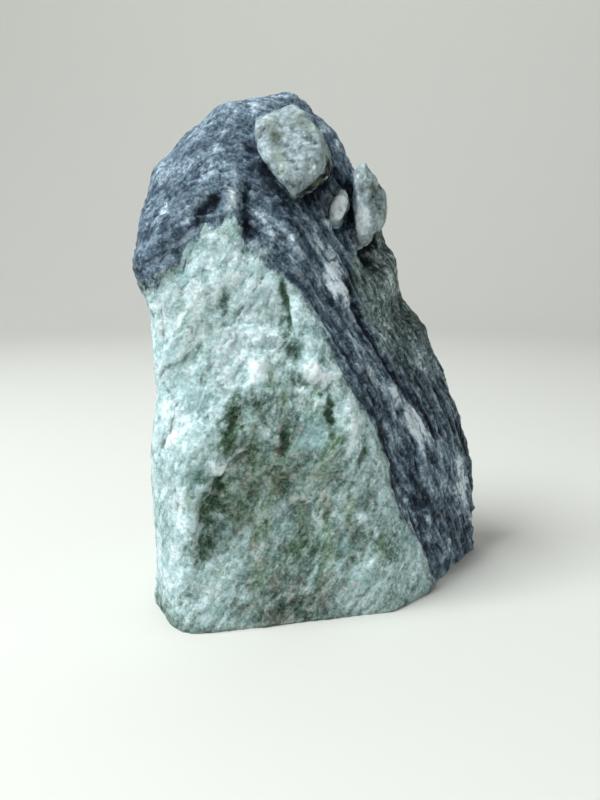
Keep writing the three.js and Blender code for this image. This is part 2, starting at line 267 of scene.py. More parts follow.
SCHIST_MARKS = [
    # The pale streak down the band, and the greyer stone on its left.
    (4, 1, 0.4, (386, 379), (396, 397), (405, 411)),
    (6.4, 1.45, 0.6, (398, 400), (407, 415), (418, 430), (428, 443)),
    (9, 0.9, 0, (345, 325), (358, 348), (372, 375), (386, 405), (398, 430)),
    # The bright patch at the top of the band, and pale flecks of the upper right side.
    (6, 1.4, 0.3, (334, 259), (338, 281), (344, 300)),
    (1.6, 1, 0.2, (369, 366), (372, 371)),
    (5, 1, 0.3, (386, 266), (389, 283), (388, 298)),
    (2, 0.9, 0.2, (384, 292), (381, 300)),
    (1.6, 0.8, 0.2, (379, 312), (377, 320)),
    (1.8, 0.9, 0.2, (379, 335), (389, 338)),
    (2.4, 0.6, 0.2, (435, 360), (442, 376)),
    (3.4, 0.6, 0.4, (408, 334), (415, 360), (423, 382)),
    (2.4, 0.6, 0.2, (445, 424), (450, 437)),
    # Pale streaks low on the right side.
    (8, 1, 0.3, (449, 456), (459, 472), (463, 492), (461, 515)),
    (4, 0.5, 0, (436, 468), (446, 490), (449, 512)),
    (3.4, 0.5, 0.2, (443, 468), (448, 490)),
    (3.4, 1, 0.3, (440, 556), (452, 547)),
    (1.8, 0.8, 0.3, (465, 525), (471, 511)),
    (4, 0.7, 0, (395, 478), (404, 505), (418, 534)),
    # Pale wisps round the knobs and in the top of the band.
    (3.4, 0.8, 0.2, (330, 199), (325, 223)),
    (2, 0.9, 0.5, (253, 198), (262, 219), (271, 246)),
    (1.6, 0.8, 0.3, (291, 212), (300, 223)),
    (1.8, 1, 0.1, (290, 237), (295, 237)),
    (2, 0.9, 0.4, (314, 243), (323, 256)),
    (3, 0.6, 0.2, (290, 253), (296, 276)),
    (6, 0.8, 0.2, (318, 200), (324, 212), (322, 228)),
    (3, 1, 0.3, (331, 205), (330, 216)),
    (2, 0.6, 0.2, (304, 290), (318, 322), (332, 350)),
    (1.6, 0.6, 0.2, (322, 300), (336, 330)),
    (2.4, 0.6, 0, (333, 140), (338, 144)),
    # The crown's pale rib and patches.
    (4, 1, 0.3, (211, 147), (219, 149)),
    (3.2, 0.9, 1.2, (236, 168), (235, 180), (233, 195), (233, 210), (235, 222)),
    (2, 0.8, 0.2, (165, 198), (163, 217)),
    (5, 0.5, 0.2, (157, 179), (170, 161)),
    (2, 1, 0.3, (188, 214), (189, 232)),
    (5, 0.6, 0.2, (196, 172), (219, 167)),
    (1.8, 0.8, 0, (239, 219), (238, 234)),
    (2.4, 0.7, 0.1, (250, 110), (262, 108)),
    # Dark lines of the band and the right side.
    (4, -0.8, -0.8, (401, 430), (408, 452), (419, 474)),
    (5, -0.8, -0.6, (419, 474), (430, 497), (441, 522)),
    (3, -1.3, -1, (347, 262), (352, 299), (360, 322), (372, 347), (386, 364), (400, 386), (413, 402)),
    (3.4, -0.9, -0.4, (420, 392), (430, 408), (440, 426), (450, 446)),
    (4, -0.9, -0.4, (421, 402), (427, 419), (440, 446)),
    (4, -0.8, -0.3, (452, 419), (464, 441), (469, 460)),
    (3, -0.8, -0.4, (385, 408), (383, 424), (391, 447)),
    (3, -1, -0.3, (430, 457), (436, 464)),
    (3, -0.7, -0.3, (460, 533), (471, 526)),
    (1.6, -1, -0.6, (322, 283), (332, 303), (347, 328)),
    (4, -0.6, -0.2, (395, 290), (405, 320)),
    (4, -0.7, -0.2, (428, 345), (440, 372), (448, 396)),
    (3, -0.7, -0.3, (363, 270), (366, 290)),
    (3, -0.5, -0.2, (310, 262), (322, 284)),
    # Painted shadow in the deep notch under the right knob, painted shade in the gap beside the lens, and
    # painted shade under the front knob.
    (6, -1.3, -3.5, (380, 243), (376, 241), (371, 244), (366, 250), (360, 262)),
    (5, -1.5, -1, (362, 247), (366, 256), (369, 267)),
    (5.5, -1.6, -0.5, (379, 236), (374, 242)),
    (3, -1.3, -0.8, (350, 180), (353, 198), (352, 210), (348, 222), (341, 232)),
    (3, -0.8, -0.5, (334, 230), (340, 236)),
    (5, -1.3, -0.6, (335, 158), (332, 175), (321, 188), (306, 197), (290, 201)),
    (3, -0.9, -0.5, (253, 154), (266, 174), (281, 190)),
    (3.4, -0.8, -0.4, (332, 132), (338, 146)),
    # Painted shade in the crown's crease, in the groove beside its rib, and in its shaded patches.
    (2.2, -1.1, -0.3, (189, 231), (197, 219), (206, 209), (215, 199), (225, 185)),
    (2.6, -1.1, -0.5, (246, 174), (245, 200), (246, 222), (247, 248)),
    (1.8, -0.9, -0.5, (258, 222), (265, 242)),
    (3.4, -0.8, -0.3, (242, 141), (252, 152), (258, 164)),
    (2.4, -0.8, -0.2, (219, 223), (230, 221)),
    (2.4, -0.7, -0.2, (251, 124), (253, 132)),
    (4, -0.4, -0.2, (144, 224), (142, 254), (150, 290)),
    (3.4, -0.6, -0.2, (173, 252), (180, 252)),
    (3, -0.5, -0.2, (186, 140), (196, 128)),
]
KNOB_MARKS = [
    # A painted highlight down the right knob's left side, where it faces the light, and the bright lens.
    (2.2, 1, 0.2, (357, 168), (357, 189), (359, 208)),
    (3.4, 1.8, 0.5, (360, 206), (362, 222), (363, 236)),
    (4.5, 1.9, 0.2, (344, 195), (342, 204), (336, 219)),
    # A painted highlight along the front knob's top, pale patches, and patches of painted shade.
    (3, 0.6, 0, (275, 108), (292, 107), (303, 118)),
    (2, 0.7, 0.2, (306, 140), (303, 146)),
    (3, 0.5, 0, (262, 135), (270, 160)),
    (3, 0.3, 0, (290, 150), (284, 160)),
    (3, -0.5, -0.1, (283, 166), (290, 174)),
    (3, -0.4, 0, (272, 130), (277, 138)),
    # Painted shadow on the front knob's underside, and painted shade on the right knob's side and at its
    # foot over the notch.
    (5, -1.4, 0, (330, 163), (325, 174), (315, 185), (302, 192), (297, 198)),
    (5, -1.3, 0, (331, 159), (332, 170), (329, 178), (322, 183), (312, 191)),
    (6, -0.4, -0.3, (370, 180), (377, 200), (375, 220)),
    (3.4, -0.9, -1.2, (379, 226), (376, 236), (369, 245)),
]

# The green hollow of the front, greener and darker, partly in its own colour and partly as painted shade, as
# ovals seen from there: the middle, half sizes and turn of each.
SAGE_ZONES = [((-15, 45), (43, 52), -8), ((-22, 80), (26, 30), 10)]
SAGE_FADE = (0.55, 1.1)  # it fades between these shares of an oval

# Colours along each stone's tones, from dark to light.
TALC_STOPS = (0.0, 0.2, 0.38, 0.54, 0.7, 0.9)
TALC = list(zip(TALC_STOPS, ("1b2926", "445a52", "788f8a", "a0bbba", "c5dde1", "f0fcff")))
MOSS = list(zip(TALC_STOPS, ("16231a", "3d5540", "6a846c", "8fa898", "b9cabf", "edf4ee")))
CLAY = list(zip(TALC_STOPS, ("2b2a27", "57554f", "85837d", "aaa8a3", "cbcac7", "f4f3f2")))
SCHIST = [
    (0.0, "05090e"), (0.22, "192531"), (0.42, "3a4b5b"), (0.6, "697c8b"), (0.78, "9cafbc"), (0.95, "e0ecf3"),
]
CHLORITE = [
    (0.0, "050909"), (0.25, "1a2424"), (0.48, "405150"), (0.68, "738685"), (0.85, "a6b7b6"), (1.0, "dde8e7"),
]
KNOB = [
    (0.0, "0c1012"), (0.14, "3c4547"), (0.28, "6b7778"), (0.5, "8e9ea2"), (0.7, "b3c3ca"), (0.9, "eef5fa"),
]
AQUA = "9cc8cc"
CREAM = "8b997f"
HOLLOW_SHADE = ("3d5246", "090e14")  # painted shade in the hollows of the talc, and of the schist
EDGE_HIGHLIGHT = ("eef8f8", "b9c4ce")  # painted highlights on their convex edges

# Noises in the stone's colour and bump: the size of their grain, their detail and their roughness.
NOISES = {
    "specks": (1.3, 3, 0.8), "broken_edges": (4.5, 7, 0.85), "talc_clouds": (15, 8, 0.72),
    "talc_blotches": (3, 6, 0.78), "talc_streaks": (2.4, 5, 0.7), "streaks_by_schist": (1.6, 4, 0.7),
    "edge_of_band": (9, 5, 0.7), "aqua": (20, 4, 0.55), "moss": (10, 4, 0.55), "clay": (6, 5, 0.55),
    "seams": (2.1, 5, 0.7), "bands": (6, 3, 0.6), "mottles": (5, 4, 0.7), "flecks": (2.2, 6, 0.82),
    "edge_of_right_side": (7, 5, 0.7), "knob_clouds": (8, 6, 0.7), "knob_flecks": (2, 5, 0.8),
    "cream": (9, 4, 0.55), "contact": (6, 6, 0.75), "contact_swings": (18, 2, 0.55),
    "contact_fingers": (2.6, 4, 0.7), "grit": (1.1, 5, 0.75),
}

# Textures that are drawn out: the turn about each axis in degrees, and the factor along each axis.
DRAWN_OUT = {
    "splinters": ((0, 30, 0), (1, 1, 3.5)),
    "plates": ((0, 0, 0), (1, 0.5, 0.5)),
    "moss": ((0, 12, 0), (1, 1, 2.4)),
    "contact_fingers": ((0, 18, 0), (1, 1, 4)),
}
BENDS = 0.3  # the scale of the noise that bends the splinters
LAYER_STREAKS = (0.22, 0.3)  # how fast the noises along the layers change with z and with y

# The sizes of the small tilted flats in the colour and bump.
GRAIN_SIZE = 1.5
SPLINTER_SIZE = 2.4
PLATE_SIZE = 2.2

# Fades: where a value starts and ends to count, and from how much to how much if that isn't 0 to 1.
FADES = {
    "pale_marks": (0.05, 1.5, 0, 1.1), "dark_marks": (0.05, 1.5, 0, 1.35),
    "talc_nears_schist": (-14, -5), "talc_nears_crown": (-12, 1), "crown": (0.3, 0.8),
    "talc_nears_band": (-8, 0), "band": (0.6, 0.3), "upper_talc": (90, 120), "foot": (18, 2),
    "clay_foot": (24, 4), "aqua": (0.03, 0.16, 0, 0.3), "moss": (0.1, 0.45, 0, 0.9),
    "clay": (0.05, 0.3, 0, 0.6), "upper_schist": (95, 150), "green": (-2, 2),
    "green_height": (95, 125, 0.35, 1), "cream": (0, 0.15, 0, 0.35), "schist": (-1.8, 1.8),
    # On the next line, the fades for painted shade in the hollows and for painted highlights on convex
    # edges.
    "knob": (0.4, 0.6), "deep": (0.02, 0.3, 0, 0.5), "edge_highlight": (-0.06, -0.4, 0, 0.25),
    "roughness": (-0.5, 0.5, 0.3, 0.75), "soot": (0.5, 1.2),
}

# The tone each stone starts from, and how much each thing lightens it or, below 0, darkens it.
TALC_TONE = 0.65
# Of these, upper lightens the talc towards the top as painted light from above, and foot darkens it at the
# bottom as painted shade.
TALC_TONES = {
    # The sage weight darkens the green hollow: partly its own green, partly painted shade.
    "clouds": 0.85, "streaks": 0.6, "blotches": 0.8, "splinters": 0.16, "grains": 0.14, "specks": 0.6,
    "upper": 0.05, "foot": -0.22, "pale": 0.31, "dark": -0.42, "sage": -0.22, "by_crown": -0.14,
    "pale_sage": 0.1, "dark_sage": 0.12, "by_band": -0.15,
}
SCHIST_TONE = 0.51
SCHIST_TONES = {
    "streaks": 1, "mottles": 1, "plates": 0.16, "pale": 0.38, "dark": -0.38, "crown": -0.03, "upper": 0.06,
}
STREAKS = {"seams": 1.1, "bands": 1.5}
STREAKS_IN_BAND = 1
STREAKS_ELSEWHERE = {"crown": -0.72, "upper_right": -0.55}  # how much weaker elsewhere
MOTTLES = {"spots": 0.9, "flecks": 1.1, "grains": 0.2, "specks": 0.65}
MOTTLES_IN_BAND = 0.65
MOTTLES_ELSEWHERE = {"crown": 0.15, "upper_right": 0.5}  # how much stronger
CHLORITE_TONE = 0.02  # how much lighter chlorite is than the schist beside it
KNOB_TONE = 0.52
KNOB_TONES = {"clouds": 1.3, "flecks": 0.7, "grains": 0.12, "pale": 0.4, "dark": -0.6}

# Where there is moss, clay and cream: how much there is anyway, and how much more each thing brings.
MOSS_START = -0.1
MOSS_COMES = {"sage": 0.28, "dark": 0.4, "patches": 2}
CLAY_START = -0.24
CLAY_COMES = {"sage": 0.32, "patches": 1.4, "by_band": 0.2, "foot": 0.25}
CREAM_COMES = {"pale": -0.15}

# How far noise moves an edge in the colours, in mm.
BAND_RAGGED = {"noise": 16}
RIGHT_RAGGED = {"noise": 24}
CONTACT_RAGGED = {"noise": 17, "fingers": 26, "swings": 9}

# How strongly noise breaks up the edges of the knobs and the marks.
KNOB_RAGGED = {"specks": 0.8}
MARKS_RAGGED = 2.5

SPECULAR = 0.12
DARK_AND_SHADE_ROUGHNESS = {"soot": 0.4}  # how much rougher the dark marks in the schist are, painted shade among them
GRAIN_HEIGHTS = {"grit": 0.7, "chips": 0.6, "grains": 0.9}
BUMP_STRENGTH = 0.8
BUMP_HEIGHT = 1.0

# The numbers that scatter others: large primes for the three cells and the seed, shifts, and factors.
SCATTER = (374761393, 668265263, 1440662683, 1274126177)
STIR = [(13, 1103515245), (17, 1597334677)]
SCATTER_SHIFT = 11
SCATTER_MOST = 2**20 - 1


def smooth(value, start, end):
    """0 before start and 1 after end, with a soft change between them."""
    share = np.clip((value - start) / (end - start), 0, 1)
    return share * share * (3 - 2 * share)


def tapered(place, taper):
    """1 along the middle of a line, fading to 0 in that share of it at each end."""
    return smooth(place, 0, taper) * (1 - smooth(place, 1 - taper, 1))


def scattered(cells, seed):
    """A repeatable random number from 0 to 1 for each row of three whole numbers."""
    a, b, c, d = SCATTER
    mixed = cells[..., 0] * a + cells[..., 1] * b + cells[..., 2] * c + seed * d
    for shift, factor in STIR:
        mixed = (mixed ^ (mixed >> shift)) * factor
    return ((mixed >> SCATTER_SHIFT) & SCATTER_MOST) / SCATTER_MOST


def noise(p, size, seed):
    """Smooth noise from -1 to 1 with a grain of that size."""
    cell = np.floor(p / size).astype(np.int64)
    share = p / size - cell
    share = share * share * (3 - 2 * share)
    total = np.zeros(len(p))
    for corner in np.ndindex(2, 2, 2):
        weight = np.prod(np.where(corner, share, 1 - share), axis=1)
        total += weight * scattered(cell + corner, seed)
    return 2 * total - 1


def noises(p, parts):
    """The sum of noises given as (height, size, seed)."""
    return sum(height * noise(p, size, seed) for height, size, seed in parts)


def breaks(p, size, tilt, seed):
    """The height of a surface broken into small tilted flats of about that size."""
    cell = np.floor(p / size).astype(np.int64)
    nearest = np.full(len(p), np.inf)
    height = np.zeros(len(p))
    for step in np.ndindex(3, 3, 3):
        beside = cell + step - 1
        centre = beside + np.stack([scattered(beside, seed + axis) for axis in range(3)], axis=1)
        lean = np.stack([scattered(beside, seed + 3 + axis) for axis in range(3)], axis=1) - 0.5
        away = p / size - centre
        gap = (away**2).sum(axis=1)
        height = np.where(gap < nearest, (away * lean).sum(axis=1), height)
        nearest = np.minimum(gap, nearest)
    return height * size * tilt


def rough(p, swells, flats):
    """The height of a surface with those noises and those flats."""
    return noises(p, swells) + sum(breaks(p, *flat) for flat in flats)


def stretched(p, along, factor):
    """The points with their distances along a direction shortened, which draws out noise made on them."""
    return p - np.outer(p @ along, along) * (1 - 1 / factor)


def looking(azimuth, elevation):
    """The direction that looks to an azimuth, from +X towards +Y, and an elevation."""
    level = cos(radians(elevation))
    return np.array((level * cos(radians(azimuth)), level * sin(radians(azimuth)), sin(radians(elevation))))


def turned_flat(flat, degrees):
    """Points of two axes, turned anticlockwise."""
    c, s = cos(radians(degrees)), sin(radians(degrees))
    return flat @ np.array([[c, s], [-s, c]])


def over_and_beside(p, over, beside):
    """How far each point lies over and beside the contact, from lines given as (positions, values)."""
    back = p[:, 1] - CONTACT_Y
    above = p[:, 2] - np.interp(p[:, 0], *over) + CONTACT_FALLS * back
    right = p[:, 0] - np.interp(p[:, 2], *beside) + CONTACT_CLOSES * back
    return above, right


def into_schist(p):
    """How far each point lies into the schist. Below 0 it is in the talc."""
    return np.maximum(*over_and_beside(p, tuple(zip(*CONTACT_OVER)), tuple(zip(*CONTACT_BESIDE))))


def eased(line):
    """A line of (position, value) points with its corners rounded off, as positions and values."""
    reach = BELL_REACH * LAYER_EASE
    at = np.arange(line[0][0] - reach, line[-1][0] + reach + 1.0)
    bell = np.exp(-0.5 * (np.arange(-reach, reach + 1) / LAYER_EASE) ** 2)
    slope = (line[-1][1] - line[-2][1]) / (line[-1][0] - line[-2][0])
    value = np.interp(at, *zip(*line)) + slope * np.maximum(at - line[-1][0], 0)
    padded = np.pad(value, reach, mode="edge")
    return at, np.convolve(padded, bell / bell.sum(), mode="valid")


def layers(p):
    """How deep in the schist's layers each point is, and 1 in the crown down to 0 in the band."""
    over, beside = over_and_beside(p, eased(CONTACT_OVER), eased(LAYER_BESIDE))
    over, beside = over / LAYER_SLOPES[0], beside / LAYER_SLOPES[1]
    fold = np.hypot(over - beside, LAYER_FOLD)
    deeper = 0.5 * (over + beside + fold)
    return deeper + noises(p, LAYER_WANDER), 0.5 + 0.5 * (over - beside) / fold


def on_knobs(p):
    """From 1 on a knob or the lens down to 0 off it."""
    share = np.zeros(len(p))
    for core, wear, faces in KNOBS:
        away = p - core
        gap = np.linalg.norm(away, axis=1)
        way = away / gap[:, None]
        total = np.zeros(len(p))
        for azimuth, elevation, through in faces:
            normal = looking(azimuth, elevation)
            facing = way @ normal
            distance = np.dot(np.subtract(through, core), normal)
            bound = np.exp(-distance / np.maximum(facing, GRAZING) / wear)
            total += np.where(facing > GRAZING, bound, 0)
        share = np.maximum(share, 1 - smooth(gap + wear * np.log(total), *KNOB_SKIN))
    return share


def to_line(p, points):
    """How far each point is from a line, how far along it is nearest, and 1 right of it or -1 left of it."""
    points = np.array(points, float)
    runs = np.diff(points, axis=0)
    lengths = np.linalg.norm(runs, axis=1)
    nearest = np.full(len(p), np.inf)
    place = np.zeros(len(p))
    side = np.zeros(len(p))
    for i, (start, run) in enumerate(zip(points, runs)):
        share = np.clip((p - start) @ run / (run @ run), 0, 1)
        away = p - start - np.outer(share, run)
        gap = np.linalg.norm(away, axis=1)
        closer = gap < nearest
        nearest = np.where(closer, gap, nearest)
        place = np.where(closer, (lengths[:i].sum() + share * lengths[i]) / lengths.sum(), place)
        side = np.where(closer, np.sign(run[-1] * away[:, 0] - run[0] * away[:, -1]), side)
    return nearest, place, side


def steps_in_front(p, front):
    """The relief of the front's steps: a steep drop right of each line, and a floor that rises again."""
    height = np.zeros(len(p))
    wander = noises(p, STEP_WANDER)
    for points, drop, reach in STEPS:
        gap, place, side = to_line(p[:, [0, 2]], points)
        right = gap * side + wander
        ends = tapered(place, STEP_TAPER) * (1 - smooth(gap, reach, 2 * reach))
        height -= drop * smooth(right, *STEP_DROP) * (1 - smooth(right, STEP_DROP[1], reach)) * ends
    return height * front


def step_by_the_band(p, depth):
    """The relief of the talc's edge where it stands out over the foot of the band."""
    step = smooth(depth + noises(p, SLAB_WANDER), *SLAB_STEP)
    return -SLAB_EDGE * step * (1 - smooth(p[:, 2], *SLAB_ENDS)) * (1 - smooth(depth, *SLAB_REACH))


def seen_at(stone, picture_points):
    """Where on the stone the camera sees each point of the picture, in millimetres."""
    focal = LENS / SENSOR_HEIGHT * PICTURE[1]
    ahead, down = cos(radians(CAMERA_TILT)), sin(radians(CAMERA_TILT))
    places = []
    for across, below in picture_points:
        right, up = (across - PICTURE[0] / 2) / focal, (PICTURE[1] / 2 - below) / focal
        way = (right, ahead + up * down, up * ahead - down)
        found, place, _, _ = stone.ray_cast(np.array(CAMERA_AT) * MM, way)
        if not found:
            raise ValueError(f"the stone isn't seen at {across}, {below}")
        places.append(tuple(c / MM for c in place))
    return places


def marked(stone, p, marks):
    """The strongest pale mark less the strongest dark one at each point, and the relief of all of them."""
    pale = np.zeros(len(p))
    dark = np.zeros(len(p))
    relief = np.zeros(len(p))
    wander = noises(p, MARK_WANDER)
    for width, force, rise, *points in marks:
        gap, place, _ = to_line(p, seen_at(stone, points))
        ends = MARK_TIP + (1 - MARK_TIP) * tapered(place, MARK_TAPER)
        mark = (1 - smooth(gap / width + wander, 0, MARK_FADE)) * ends
        pale = np.maximum(pale, force * mark)
        dark = np.maximum(dark, -force * mark)
        relief += rise * mark
    return pale - dark, relief


class Skin:
    """The stone's mesh as arrays, in millimetres."""

    def __init__(self, mesh):
        self.mesh = mesh
        self.p = np.empty(len(mesh.vertices) * 3)
        mesh.vertices.foreach_get("co", self.p)
        self.p = self.p.reshape(-1, 3) / MM
        self.edges = np.empty(len(mesh.edges) * 2, np.int64)
        mesh.edges.foreach_get("vertices", self.edges)
        self.edges = self.edges.reshape(-1, 2)
        self.degree = np.bincount(self.edges.ravel(), minlength=len(self.p))

    def averaged(self, values, rounds, share=1):
        """The values, each evened out with its neighbours' that many times, to its share of half the way."""
        a, b = self.edges.T
        share = np.full(len(values), 0.5) * share
        for _ in range(rounds):
            total = np.zeros_like(values)
            for axis in range(values.shape[1]):
                total[:, axis] = np.bincount(a, values[b, axis], len(values))
                total[:, axis] += np.bincount(b, values[a, axis], len(values))
            values = values + share[:, None] * (total / self.degree[:, None] - values)
        return values

    def normals(self):
        """The direction each point of the surface faces."""
        self.write()
        facing = np.empty(len(self.mesh.vertices) * 3, np.float32)
        self.mesh.vertex_normals.foreach_get("vector", facing)
        return facing.reshape(-1, 3).astype(float)

    def hollow(self):
        """How hollow the surface is at each point, from 1 in a hollow to -1 on an edge."""
        inwards = ((self.averaged(self.p, HOLLOW_ROUNDS) - self.p) * self.normals()).sum(axis=1)
        return np.clip(inwards, -1, 1)

    def write(self):
        """Puts the points back in the mesh."""
        self.mesh.vertices.foreach_set("co", (self.p * MM).ravel())
        self.mesh.update()

    def store(self, name, values):
        """Keeps a number for each point, for the material."""
        layer = self.mesh.attributes.new(name, "FLOAT", "POINT")
        layer.data.foreach_set("value", values.astype(np.float32))


def add(name, data):
    """A new object in the scene."""
    thing = bpy.data.objects.new(name, data)
    bpy.context.scene.collection.objects.link(thing)
    return thing


def fine_copy(node):
    """The node's shape as a new mesh of even, fine faces."""
    stone = add("soapstone", node.data.copy())
    remesh = stone.modifiers.new("even faces", "REMESH")
    remesh.mode = "VOXEL"
    remesh.voxel_size = VOXEL * MM
    evaluated = stone.evaluated_get(bpy.context.evaluated_depsgraph_get())
    fine = bpy.data.meshes.new_from_object(evaluated)
    stone.modifiers.clear()
    stone.data = fine
    stone.data.name = "soapstone"
    return stone


def talc_height(p):
    """The fine relief of the talc: splinters that run along its grain, and a sugary surface."""
    wavy = p + np.stack([noises(p, [wave]) for wave in TALC_WAVES], axis=1)
    splinters = sum(breaks(stretched(wavy, TALC_GRAIN, factor), *flats) for factor, flats in TALC_SPLINTERS)
    factor, swells = TALC_SWELLS
    return splinters + noises(stretched(p, TALC_GRAIN, factor), swells)


def schist_height(p, layer, crown):
    """The fine relief of the schist: thin layers that break off in ledges, with a coarse grain."""
    height = np.zeros(len(p))
    upper = smooth(p[:, 2], *UPPER_RIGHT[0]) * smooth(p[:, 0], *UPPER_RIGHT[1])
    usual, varies, patch_size = LEDGE_PATCHES
    wander, wander_size = LEDGE_WANDER
    for pitch, rise, patch_seed, wander_seed in LEDGES:
        share = (layer + wander * noise(p, wander_size, wander_seed)) / pitch % 1
        patchy = usual + varies * noise(p, patch_size, patch_seed)
        patchy = patchy * (1 - CROWN_PLAINER * crown) * (1 - UPPER_PLAINER * upper)
        height += rise * patchy * (share - smooth(share, LEDGE_BREAK, 1) - LEDGE_MIDDLE)
    return height + rough(p, SCHIST_SWELLS, SCHIST_FLATS)


def in_sage(p, front):
    """From 1 in the green hollow of the front down to 0 outside it."""
    share = np.zeros(len(p))
    for middle, half, turn in SAGE_ZONES:
        across = np.linalg.norm(turned_flat(p[:, [0, 2]] - middle, turn) / half, axis=1)
        share = np.maximum(share, (1 - smooth(across, *SAGE_FADE)) * front)
    return share


def described(stone, p, front):
    """What the material needs to know about each point, and the relief of each stone's marks."""
    layer, crown = layers(p)
    values = {
        "layer": layer,
        "crown": crown,
        "schist_depth": into_schist(p),
        "knob": on_knobs(p),
        "sage_zone": in_sage(p, front),
        "right_side": p[:, 0] - np.interp(p[:, 2], *zip(*RIGHT_EDGE)),
    }
    marks = {}
    for name, table in (("talc", TALC_MARKS), ("schist", SCHIST_MARKS), ("knob", KNOB_MARKS)):
        values[name + "_marks"], marks[name] = marked(stone, p, table)
    return values, marks


def relief(p, front, values, marks):
    """How far the broken surface stands out from the smooth one at each point."""
    depth, knob = values["schist_depth"], values["knob"]
    schist = smooth(depth, *INTO_SCHIST)
    height = (1 - schist) * talc_height(p) + schist * schist_height(p, values["layer"], values["crown"])
    height += steps_in_front(p, front) + step_by_the_band(p, depth) + marks["talc"] + marks["schist"]
    height = (1 - knob) * height + knob * (marks["knob"] + rough(p, KNOB_SWELLS, KNOB_FLATS))
    return height * smooth(p[:, 2], *BASE_BAND)


def shape(stone):
    """Gives the fine mesh its surface, and stores what the material needs to know about each point."""
    bpy.context.view_layer.update()
    skin = Skin(stone.data)
    crisp = np.maximum(on_knobs(skin.p), 1 - smooth(skin.p[:, 2], *FOOT))
    skin.p = skin.averaged(skin.p, SMOOTHING, 1 - (1 - CRISP) * crisp)
    p = skin.p.copy()
    facing = skin.normals()
    front = smooth(-facing[:, 1], *FRONT_FACING)

    values, marks = described(stone, p, front)
    height = relief(p, front, values, marks)
    low, high = (np.array(corner) / MM for corner in cad_box)
    skin.p = np.clip(p + facing * height[:, None], low, high)
    skin.p[p[:, 2] < BASE_SNAP, 2] = 0
    skin.write()

    values["hollow"] = skin.hollow()
    for name, value in values.items():
        skin.store(name, value)
    stone.data.shade_smooth()


class Graph:
    """Makes shader nodes. Most calls add nodes and give back the last one's output."""

    def __init__(self, material):
        self.tree = material.node_tree
        where = self.node("TexCoord").outputs["Object"]
        mm = self.node("VectorMath", {"operation": "SCALE"}, {"Vector": where, "Scale": 1 / MM})
        self.mm = mm.outputs["Vector"]

    def node(self, kind, settings=None, inputs=None):
        """A new node of that kind, with its settings and with a value or a link for each of its inputs."""
        node = self.tree.nodes.new("ShaderNode" + kind)
        for name, value in (settings or {}).items():
            setattr(node, name, value)
        for name, value in (inputs or {}).items():
            self.set(node.inputs[name], value)
        return node

    def set(self, socket, value):
        if isinstance(value, bpy.types.NodeSocket):
            self.tree.links.new(value, socket)
        else:
            socket.default_value = value

    def stored(self, name):
        """A number that the mesh keeps for each point."""
        return self.node("Attribute", {"attribute_name": name}).outputs["Fac"]

    def math(self, operation, *values):
        return self.node("Math", {"operation": operation}, dict(enumerate(values))).outputs[0]

    def times(self, a, b):
        return self.math("MULTIPLY", a, b)

    def sum(self, start, weights, **values):
        """The start plus each value times the weight of that name."""
        total = start
        for name, value in values.items():
            total = self.math("MULTIPLY_ADD", value, weights[name], total)
        return total

    def between(self, value, start, end, low=0.0, high=1.0):
        """The value carried from start..end to low..high, softly, and held beyond its ends."""
        inputs = {"Value": value, "From Min": start, "From Max": end, "To Min": low, "To Max": high}
        node = self.node("MapRange", {"interpolation_type": "SMOOTHSTEP"}, inputs)
        return node.outputs["Result"]

    def fade(self, value, name):
        """The named fade of a value."""
        return self.between(value, *FADES[name])

    def mix(self, share, a, b):
        """From a at a share of 0 to b at 1, through the node's sockets for colours."""
        inputs = {0: share, 6: a, 7: b}
        return self.node("Mix", {"data_type": "RGBA", "clamp_factor": True}, inputs).outputs[2]

    def ramp(self, value, stops):
        """The colour at a value, along (position, colour code) stops."""
        node = self.node("ValToRGB", None, {"Fac": value})
        elements = node.color_ramp.elements
        while len(elements) < len(stops):
            elements.new(0.5)
        for element, (position, code) in zip(elements, stops):
            element.position = position
            element.color = colour(code)
        return node.outputs["Color"]

    def noise(self, name, vector=None):
        """The named noise, around 0 and mostly between -0.25 and 0.25."""
        size, detail, roughness = NOISES[name]
        inputs = {"Vector": vector or self.mm, "Scale": 1 / size, "Detail": detail, "Roughness": roughness}
        node = self.node("TexNoise", {"noise_dimensions": "3D"}, inputs)
        return self.math("SUBTRACT", node.outputs["Fac"], 0.5)

    def chips(self, vector, size):
        """Small tilted flats of about that size: their height, and for each a number from -0.5 to 0.5."""
        inputs = {"Vector": vector, "Scale": 1 / size}
        cell = self.node("TexVoronoi", {"voronoi_dimensions": "3D", "feature": "F1"}, inputs)
        away = self.vector("SUBTRACT", vector, cell.outputs["Position"])
        lean = self.vector("SUBTRACT", cell.outputs["Color"], (0.5, 0.5, 0.5))
        height = self.node("VectorMath", {"operation": "DOT_PRODUCT"}, {0: away, 1: lean})
        return height.outputs["Value"], self.node("SeparateXYZ", None, {0: lean}).outputs["Z"]

    def vector(self, operation, a, b):
        return self.node("VectorMath", {"operation": operation}, {0: a, 1: b}).outputs["Vector"]

    def drawn_out(self, vector, name):
        """The vector as the named texture that is drawn out needs it."""
        turn, scale = DRAWN_OUT[name]
        inputs = {"Vector": vector, "Rotation": [radians(a) for a in turn], "Scale": scale}
        return self.node("Mapping", {"vector_type": "TEXTURE"}, inputs).outputs["Vector"]


def colour(code):
    """A screen colour such as "aabbcc" as the linear colour that nodes use."""
    screen = [int(code[i : i + 2], 16) / 255 for i in (0, 2, 4)]
    return (*[c / 12.92 if c <= 0.04045 else ((c + 0.055) / 1.055) ** 2.4 for c in screen], 1)


